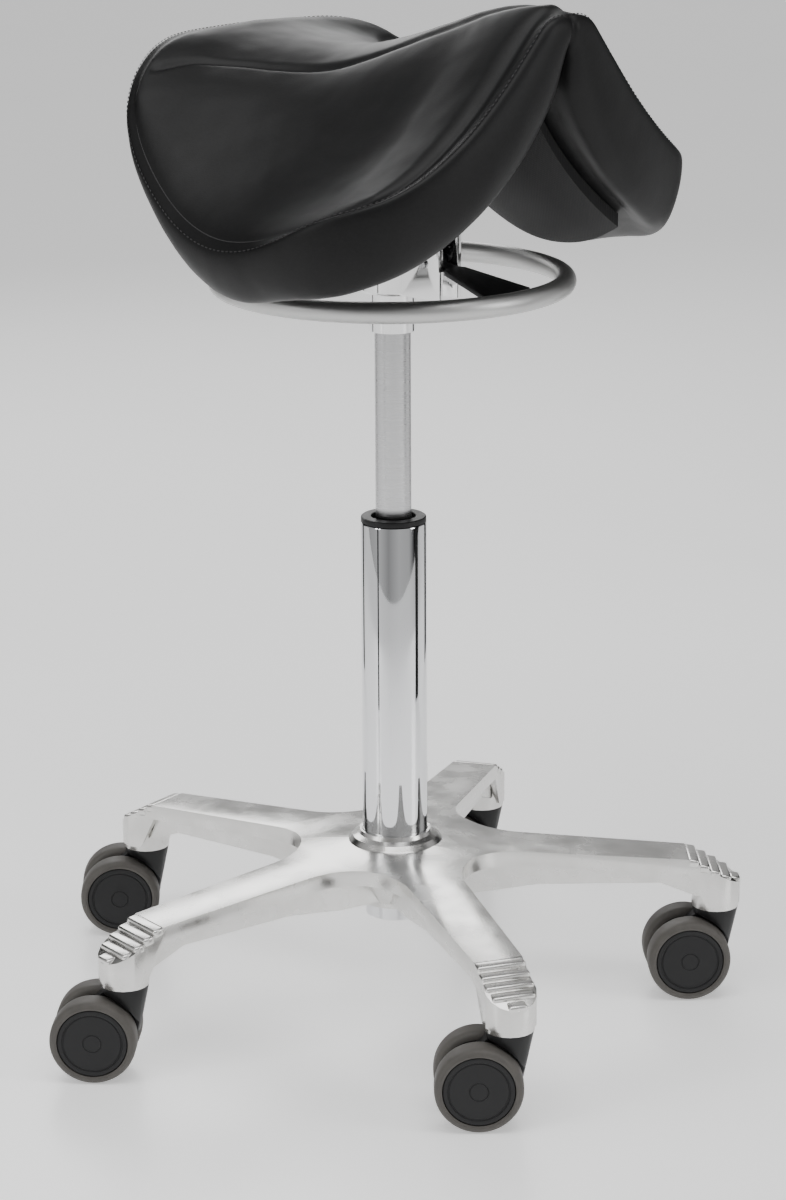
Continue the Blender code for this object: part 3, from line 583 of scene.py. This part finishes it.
class STOOL_OT_mechanism(bpy.types.Operator):
    """Model the polished housing, the lever and the ring it carries"""
    bl_idname = "stool.mechanism"
    bl_label = "Mechanism"

    def execute(self, context):
        housing = softened_copy("mechanism_housing", 0.9 * MM, limit=32.0)
        finish_piece(housing, "housing_casting", "lift", polished_aluminium(),
                     ["mechanism_housing"], 35.0)
        lever = softened_copy("release_lever", 0.6 * MM)
        finish_piece(lever, "lever_plate", "lever", moulded_nylon(),
                     ["release_lever"], 40.0)

        low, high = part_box("height_ring")
        # the CAD ring has flat facets, so the round tube stands a little proud of it
        tube = (high.z - low.z) / 2.0 * 1.05
        reach = high.x - tube
        bpy.ops.object.select_all(action="DESELECT")
        bpy.ops.mesh.primitive_circle_add(vertices=24, radius=tube, rotation=(math.radians(90.0), 0.0, 0.0),
                                          location=(reach, 0.0, (low.z + high.z) / 2.0))
        ring = bpy.context.active_object
        settle(ring)
        bpy.ops.object.mode_set(mode="EDIT")
        bpy.ops.mesh.select_all(action="SELECT")
        bpy.ops.mesh.spin(steps=144, angle=2.0 * math.pi, center=(0.0, 0.0, 0.0), axis=(0.0, 0.0, 1.0))
        bpy.ops.mesh.select_all(action="SELECT")
        bpy.ops.mesh.remove_doubles(threshold=0.01 * MM)
        bpy.ops.mesh.normals_make_consistent(inside=False)
        bpy.ops.object.mode_set(mode="OBJECT")
        finish_piece(ring, "hand_ring", "lever", brushed_stainless(), ["height_ring"], 60.0)
        return {"FINISHED"}


# ---------------------------------------------------------------- seat

def ease(x):
    """0 to 1 with soft ends."""
    x = np.clip(x, 0.0, 1.0)
    return x * x * (3.0 - 2.0 * x)


def seat_top(t, s):
    """The seat's upper surface over its plan, t forwards and s sideways."""
    front = 44.0 * MM * ease((t + 40.0 * MM) / (190.0 * MM))
    back = np.maximum(-40.0 * MM - t, 0.0) / (104.0 * MM)
    middle = 733.0 * MM + front + 15.0 * MM * back * back
    crest = 25.0 * MM + 135.0 * MM * ease((100.0 * MM - t) / (180.0 * MM))
    slope = 1.45 - 1.1 * (np.maximum(40.0 * MM - t, 0.0) / (180.0 * MM)) ** 2.5
    down = np.sqrt(s * s + crest * crest) - crest
    beside = np.exp(-((np.abs(s) - 115.0 * MM) / (55.0 * MM)) ** 2)
    plump = 10.0 * MM * ease((25.0 * MM - t) / (110.0 * MM)) * beside
    return middle - slope * down * (1.0 - down / (360.0 * MM)) + plump


def seat_plan(a, b):
    """Map the square -1..1 onto the seat's rounded outline."""
    inset = 1.0 - 0.2 * (a * b) ** 2
    length = np.where(a > 0.0, SEAT_FRONT, SEAT_REAR)
    return SEAT_MIDDLE + length * a * inset, SEAT_HALF_WIDTH * b * inset


def seam_side(t):
    """How far from the middle the top's two joining seams run, front to back."""
    along = np.array([-114.0, -109.0, -101.0, -73.0, -38.0, -15.0, 12.0, 33.0, 56.0, 110.0, 160.0]) * MM
    aside = np.array([141.0, 107.0, 95.0, 72.0, 55.0, 47.0, 35.0, 25.0, 18.0, 7.0, 0.0]) * MM
    fine = np.linspace(along[0], along[-1], 200)
    rough = np.interp(fine, along, aside)
    width = np.hanning(25) / np.hanning(25).sum()
    padded_sides = np.concatenate([np.full(12, rough[0]), rough, np.full(12, rough[-1])])
    return np.interp(t, fine, np.convolve(padded_sides, width, mode="valid"))


def cover_point(a, b, settings):
    """A point of the finished cover: panels swell a little and seams pull it in."""
    t, s = seat_plan(a, b)
    z = seat_top(t, s)
    gap = seam_side(t) - np.abs(s)
    gap = gap * (0.85 - 0.3 * ease((-80.0 * MM - t) / (34.0 * MM)))
    groove = settings.seam_depth * np.exp(-(gap / (2.7 * MM)) ** 2)
    swell = 2.2 * MM * (1.0 - np.exp(-(gap / (22.0 * MM)) ** 2))
    edge = (1.0 - np.maximum(np.abs(a), np.abs(b))) * 150.0 * MM
    roll = 4.4 * MM * np.exp(-edge / (3.6 * MM))
    fade = ease(edge / (18.0 * MM))
    return t, s, z - groove * fade + swell * fade - roll


def under_point(a, b):
    """A point of the cushion's underside."""
    t, s = seat_plan(a, b)
    share = s / (75.0 * MM)
    inwards = 68.0 * MM * share / (1.0 + share * share)
    thickness = 36.0 * MM + 14.0 * MM * (s / SEAT_HALF_WIDTH) ** 2
    return SEAT_MIDDLE + (t - SEAT_MIDDLE) * 0.92, s - inwards, seat_top(t, s) - thickness


def slab(squares, cuts):
    """A grid given thickness, with its rim divided; height 1 is its top and 0 its underside."""
    bpy.ops.object.select_all(action="DESELECT")
    bpy.ops.mesh.primitive_grid_add(x_subdivisions=squares, y_subdivisions=squares, size=2.0,
                                    location=(0.0, 0.0, 1.0))
    piece = bpy.context.active_object
    settle(piece)
    bpy.ops.object.mode_set(mode="EDIT")
    bpy.ops.mesh.select_all(action="SELECT")
    bpy.ops.mesh.extrude_region_move(TRANSFORM_OT_translate={"value": (0.0, 0.0, -1.0)})
    bpy.ops.object.mode_set(mode="OBJECT")
    shape = bmesh.new()
    shape.from_mesh(piece.data)
    rim = [edge for edge in shape.edges if abs(edge.verts[0].co.z - edge.verts[1].co.z) > 0.5]
    bmesh.ops.subdivide_edges(shape, edges=rim, cuts=cuts)
    bmesh.ops.recalc_face_normals(shape, faces=shape.faces)
    shape.to_mesh(piece.data)
    shape.free()
    return piece


def shape_slab(piece, place):
    """Move every point of a slab to place(a, b, level), level 0 on top."""
    data = piece.data
    flat = np.empty(len(data.vertices) * 3)
    data.vertices.foreach_get("co", flat)
    flat = flat.reshape(-1, 3)
    moved = np.stack(place(flat[:, 0], flat[:, 1], 1.0 - flat[:, 2]), axis=1)
    data.vertices.foreach_set("co", moved.reshape(-1))
    data.update()
    settle(piece, SEAT_SPIN)
    bpy.ops.object.mode_set(mode="EDIT")
    bpy.ops.mesh.select_all(action="SELECT")
    bpy.ops.mesh.normals_make_consistent(inside=False)
    bpy.ops.object.mode_set(mode="OBJECT")


def outward(t, s):
    """Unit direction out of the seat's edge, along its surface."""
    x = (t - SEAT_MIDDLE) / np.where(t > SEAT_MIDDLE, SEAT_FRONT, SEAT_REAR)
    y = s / SEAT_HALF_WIDTH
    plan = np.stack([x * np.abs(x), y * np.abs(y)], axis=1)
    plan = plan / np.maximum(np.linalg.norm(plan, axis=1), 1e-9)[:, None] * MM
    rise = seat_top(t + plan[:, 0], s + plan[:, 1]) - seat_top(t - plan[:, 0], s - plan[:, 1])
    way = np.stack([plan[:, 0], plan[:, 1], rise / 2.0], axis=1)
    return way / np.maximum(np.linalg.norm(way, axis=1), 1e-9)[:, None]


def cushion_point(a, b, level, settings):
    """The cover, the bolster round its rim, and the underside."""
    top = np.stack(cover_point(a, b, settings), axis=1)
    low = np.stack(under_point(a, b), axis=1)
    point = top + (low - top) * level[:, None]
    rim = (level > 0.001) & (level < 0.999)
    round_out = (4.0 * level * (1.0 - level)).clip(0.0, 1.0) ** 0.45
    t, s = seat_plan(a, b)
    join = 3.0 * MM * np.exp(-(s / (3.0 * MM)) ** 2) * (t > 100.0 * MM)
    front = ease((t - 40.0 * MM) / (75.0 * MM))
    push = np.where(rim, (settings.bulge + 10.0 * MM * front - join) * round_out, 0.0)
    point = point + outward(t, s) * push[:, None]
    point[:, 2] += push * 0.8 * front * ease(np.abs(s) / (30.0 * MM)) * np.cos(math.pi * level)
    return tuple(point.T)


def rim_track(settings, level, count=1600):
    """Points round the seat's edge at a level of the bolster, at even turns about its middle."""
    turn = np.linspace(0.0, 2.0 * math.pi, count, endpoint=False)
    reach = np.maximum(np.abs(np.cos(turn)), np.abs(np.sin(turn)))
    a, b = np.cos(turn) / reach, np.sin(turn) / reach
    return np.stack(cushion_point(a, b, np.full(count, level), settings), axis=1)


def stitch_row(name, track, settings, finish, closed=True, lift=0.0, centre=None, pitch=None, length=None):
    """Lay one stitch after another along a track of points."""
    pitch = pitch or settings.stitch_pitch
    length = length or settings.stitch_length
    if closed:
        track = np.vstack([track, track[:1]])
    steps = np.linalg.norm(np.diff(track, axis=0), axis=1)
    run = np.concatenate([[0.0], np.cumsum(steps)])
    count = int(run[-1] / pitch)
    bpy.ops.object.select_all(action="DESELECT")
    bpy.ops.mesh.primitive_uv_sphere_add(segments=8, ring_count=6, radius=0.5)
    master = bpy.context.active_object
    master.scale = (length, THREAD_WIDTH, THREAD_THICKNESS)
    settle(master)
    shape = bmesh.new()
    for index in range(count):
        middle = run[-1] * (index + 0.5) / count
        here = Vector([np.interp(middle, run, track[:, i]) for i in range(3)])
        ahead = Vector([np.interp(middle + 1.5 * MM, run, track[:, i]) for i in range(3)])
        behind = Vector([np.interp(middle - 1.5 * MM, run, track[:, i]) for i in range(3)])
        way = (ahead - behind).normalized()
        up = (here - centre(here)).normalized()
        side = up.cross(way).normalized()
        up = way.cross(side)
        basis = Matrix((way, side, up)).transposed().to_4x4()
        copy = master.data.copy()
        copy.transform(Matrix.Translation(here + up * lift) @ basis)
        shape.from_mesh(copy)
        bpy.data.meshes.remove(copy)
    data = bpy.data.meshes.new(name)
    shape.to_mesh(data)
    shape.free()
    bpy.data.objects.remove(master, do_unlink=True)
    row = bpy.data.objects.new(name, data)
    bpy.context.scene.collection.objects.link(row)
    settle(row, SEAT_SPIN)
    return finish_piece(row, name, "lift", finish, angle=60.0)


class STOOL_OT_cushion(bpy.types.Operator):
    """Model the padded saddle with its bolster, seams and soft creases"""
    bl_idname = "stool.cushion"
    bl_label = "Saddle cushion"

    def execute(self, context):
        settings = context.scene.stool_seat
        cushion = slab(settings.detail, 14)
        shape_slab(cushion, lambda a, b, level: cushion_point(a, b, level, settings))
        normals = [vert.normal.copy() for vert in cushion.data.vertices]
        for vert, normal in zip(cushion.data.vertices, normals):
            creased = noise.noise(vert.co * 38.0) + 0.5 * noise.noise(vert.co * 85.0)
            vert.co += normal * 0.35 * MM * creased
        only(cushion)
        smooth = cushion.modifiers.new("soft", "SUBSURF")
        smooth.levels = smooth.render_levels = 1
        bpy.ops.object.modifier_apply(modifier=smooth.name)
        cover = leatherette(settings.leather, settings.grain)
        finish_piece(cushion, "saddle_cushion", "lift", cover, ["seat_cushion"], 55.0)
        return {"FINISHED"}


class STOOL_OT_stitching(bpy.types.Operator):
    """Sew the row of stitches round the bolster and the rows along the top seams"""
    bl_idname = "stool.stitching"
    bl_label = "Stitching"

    def execute(self, context):
        settings = context.scene.stool_seat
        thread = bonded_thread()

        def bolster_core(point):
            return Vector((SEAT_MIDDLE + (point.x - SEAT_MIDDLE) * 0.6, point.y * 0.6, point.z - 60.0 * MM))

        stitch_row("bolster_stitches", rim_track(settings, 0.075), settings, thread,
                   lift=0.15 * MM, centre=bolster_core)
        stitch_row("edge_seam", rim_track(settings, 0.0), settings, thread, centre=bolster_core,
                   pitch=2.0 * MM, length=3.4 * MM)
        along = np.linspace(-112.0 * MM, 128.0 * MM, 240)
        for name, side in (("left", 1.0), ("right", -1.0)):
            aside = seam_side(along) * side
            height = seat_top(along, aside) - settings.seam_depth
            track = np.stack([along, aside, height], axis=1)
            stitch_row(f"{name}_seam_stitches", track, settings, thread, closed=False, lift=0.1 * MM,
                       centre=lambda point: point - UP)
        return {"FINISHED"}


class STOOL_OT_underside(bpy.types.Operator):
    """Model the covered shell under the seat and its mounting pad"""
    bl_idname = "stool.underside"
    bl_label = "Underside"

    def execute(self, context):
        shell = slab(48, 2)
        share = 12.0 / 14.0

        def place(a, b, level):
            t, s, z = under_point(a * share, b * share)
            return t, s, z - (1.0 * MM + 10.0 * MM * level)

        shape_slab(shell, place)
        finish_piece(shell, "seat_shell_cover", "lift", lining_cloth(),
                     ["seat_shell"], 50.0)
        _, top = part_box("mechanism_housing")
        pad = rounded_box((-43.0 * MM, -29.0 * MM, top.z + 0.4 * MM), (47.0 * MM, 29.0 * MM, 690.0 * MM),
                          1.5 * MM)
        settle(pad, SEAT_SPIN)
        finish_piece(pad, "mounting_pad", "lift", moulded_nylon())
        return {"FINISHED"}


class STOOL_OT_hardware(bpy.types.Operator):
    """Finish the small CAD parts that keep their shape"""
    bl_idname = "stool.hardware"
    bl_label = "Hardware"

    def execute(self, context):
        plated = ["thrust_washer", "retaining_clip", *(f"seat_screw_{index}" for index in range(1, 5))]
        plated += [f"castor_{index}_{part}" for index in CASTORS for part in ("stem", "axle")]
        finishes = dict.fromkeys(("piston_rod", "lever_pin", "release_pin"), ground_steel())
        finishes.update(dict.fromkeys(plated, zinc_plate()))
        finishes["end_buffer"] = buffer_rubber()
        for name, finish in finishes.items():
            data = frame["nodes"][name].data
            data.materials.clear()
            data.materials.append(finish)
        return {"FINISHED"}


# ---------------------------------------------------------------- stage

class STOOL_OT_stage(bpy.types.Operator):
    """Set the floor, the lights and the camera"""
    bl_idname = "stool.stage"
    bl_label = "Stage"

    def light(self, name, where, size, power, target=(0.0, 0.0, 0.4)):
        bpy.ops.object.light_add(type="AREA", location=where)
        lamp = bpy.context.active_object
        lamp.name = name
        lamp.data.shape = "RECTANGLE"
        lamp.data.size, lamp.data.size_y = size
        lamp.data.energy = power
        lamp.rotation_mode = "QUATERNION"
        lamp.rotation_quaternion = (Vector(target) - Vector(where)).to_track_quat("-Z", "Y")
        return lamp

    def execute(self, context):
        settings = context.scene.stool_stage
        bpy.ops.object.select_all(action="DESELECT")
        bpy.ops.mesh.primitive_plane_add(size=60.0, location=(0.0, 0.0, -0.2 * MM))
        floor = bpy.context.active_object
        floor.name = "floor"
        finish, tree, shader = new_material("floor laminate", "#F4F4F4", 0.32)
        if tree:
            cloud = add_node(tree, "ShaderNodeTexNoise", {"Vector": place_output(tree), "Scale": 1.5})
            vary_roughness(tree, shader, cloud.outputs["Fac"], 0.26, 0.34)
            shader.inputs["Emission Color"].default_value = (1.0, 1.0, 1.0, 1.0)
            shader.inputs["Emission Strength"].default_value = 0.45
        floor.data.materials.append(finish)

        world = bpy.data.worlds.new("studio")
        context.scene.world = world
        world.use_nodes = True
        tree = world.node_tree
        tree.nodes.clear()
        where = add_node(tree, "ShaderNodeTexCoord")
        axes = add_node(tree, "ShaderNodeSeparateXYZ", {"Vector": where.outputs["Generated"]})
        round_about = add_node(tree, "ShaderNodeMath", {0: axes.outputs["Y"], 1: axes.outputs["X"]},
                               operation="ARCTAN2")
        share = add_node(tree, "ShaderNodeMapRange", {"Value": round_about.outputs["Value"],
                                                      "From Min": -math.pi, "From Max": math.pi})
        walls = add_node(tree, "ShaderNodeValToRGB", {"Fac": share.outputs["Result"]})
        # once round the room: pale walls, with dark gaps for the metal to reflect
        shades = [(0.0, 0.75), (0.12, 0.95), (0.20, 0.55), (0.30, 0.95), (0.40, 0.85), (0.455, 0.02),
                  (0.515, 0.02), (0.535, 1.0), (0.58, 1.0), (0.61, 0.05), (0.66, 0.05), (0.70, 0.85),
                  (0.86, 0.85), (0.89, 0.06), (0.92, 0.06), (0.95, 0.85)]
        ramp = walls.color_ramp
        while len(ramp.elements) < len(shades):
            ramp.elements.new(0.5)
        for element, (position, shade) in zip(ramp.elements, shades):
            element.position = position
            element.color = (shade, shade, shade, 1.0)
        seen = add_node(tree, "ShaderNodeLightPath")
        plain = add_node(tree, "ShaderNodeBackground", {"Color": (1.0, 1.0, 1.0, 1.0), "Strength": 3.4})
        room = add_node(tree, "ShaderNodeBackground", {"Color": walls.outputs["Color"], "Strength": 0.5})
        mixed = add_node(tree, "ShaderNodeMixShader", {"Fac": seen.outputs["Is Camera Ray"]})
        tree.links.new(room.outputs["Background"], mixed.inputs[1])
        tree.links.new(plain.outputs["Background"], mixed.inputs[2])
        add_node(tree, "ShaderNodeOutputWorld", {"Surface": mixed.outputs["Shader"]})

        black, _, _ = new_material("black felt", "#060606", 0.9)
        for number, (turn, width) in enumerate(((-6.0, 0.26), (48.0, 0.34), (142.0, 0.2), (215.0, 0.1)), 1):
            turn = math.radians(turn)
            bpy.ops.mesh.primitive_plane_add(size=1.0)
            card = bpy.context.active_object
            card.name = f"black_card_{number}"
            settle(card, Matrix.Rotation(turn, 4, "Z") @ Matrix.Translation((1.15, 0.0, 0.66))
                   @ Matrix.Rotation(math.radians(90.0), 4, "Y") @ Matrix.Diagonal((1.3, width, 1.0, 1.0)))
            card.data.materials.append(black)
            card.visible_camera = False

        self.light("overhead_softbox", (0.1, -0.5, 2.6), (2.2, 1.8), 42.0)
        self.light("left_softbox", (-2.2, -1.4, 1.5), (0.9, 1.8), 26.0)
        self.light("right_softbox", (2.4, -0.9, 1.3), (0.7, 1.6), 20.0)
        self.light("back_softbox", (-0.6, 2.4, 1.6), (2.0, 1.0), 24.0)

        bpy.ops.object.camera_add(location=(0.0, -settings.distance, settings.height))
        camera = bpy.context.active_object
        camera.name = "camera"
        camera.data.lens = settings.lens
        camera.data.sensor_width = 36.0
        camera.data.clip_end = 200.0
        camera.rotation_mode = "QUATERNION"
        aim = Matrix.Rotation(CAMERA_YAW, 4, "Z") @ Matrix.Rotation(math.pi / 2.0 - settings.pitch, 4, "X")
        camera.rotation_quaternion = (aim @ Matrix.Rotation(-CAMERA_ROLL, 4, "Z")).to_quaternion()
        context.scene.camera = camera
        return {"FINISHED"}


class STOOL_PT_sidebar(bpy.types.Panel):
    bl_idname = "STOOL_PT_sidebar"
    bl_label = "Saddle stool"
    bl_space_type = "VIEW_3D"
    bl_region_type = "UI"
    bl_category = "Stool"

    def draw(self, context):
        for holder in (context.scene.stool_base, context.scene.stool_seat, context.scene.stool_stage):
            box = self.layout.box()
            for name in holder.__annotations__:
                box.prop(holder, name)
        for operator in OPERATORS:
            self.layout.operator(operator.bl_idname)


SETTINGS = (StoolSeatSettings, StoolBaseSettings, StoolStageSettings)
OPERATORS = (STOOL_OT_stage, STOOL_OT_hardware, STOOL_OT_base, STOOL_OT_castors, STOOL_OT_column,
             STOOL_OT_mechanism, STOOL_OT_cushion, STOOL_OT_stitching, STOOL_OT_underside)
CLASSES = (*SETTINGS, *OPERATORS, STOOL_PT_sidebar)


def register():
    for item in CLASSES:
        bpy.utils.register_class(item)
    bpy.types.Scene.stool_seat = PointerProperty(type=StoolSeatSettings)
    bpy.types.Scene.stool_base = PointerProperty(type=StoolBaseSettings)
    bpy.types.Scene.stool_stage = PointerProperty(type=StoolStageSettings)


def unregister():
    del bpy.types.Scene.stool_stage
    del bpy.types.Scene.stool_base
    del bpy.types.Scene.stool_seat
    for item in reversed(CLASSES):
        bpy.utils.unregister_class(item)


def main():
    register()
    bpy.ops.stool.stage()
    bpy.ops.stool.hardware()
    bpy.ops.stool.base()
    bpy.ops.stool.castors()
    bpy.ops.stool.column()
    bpy.ops.stool.mechanism()
    bpy.ops.stool.cushion()
    bpy.ops.stool.stitching()
    bpy.ops.stool.underside()


if __name__ == "__main__":
    main()
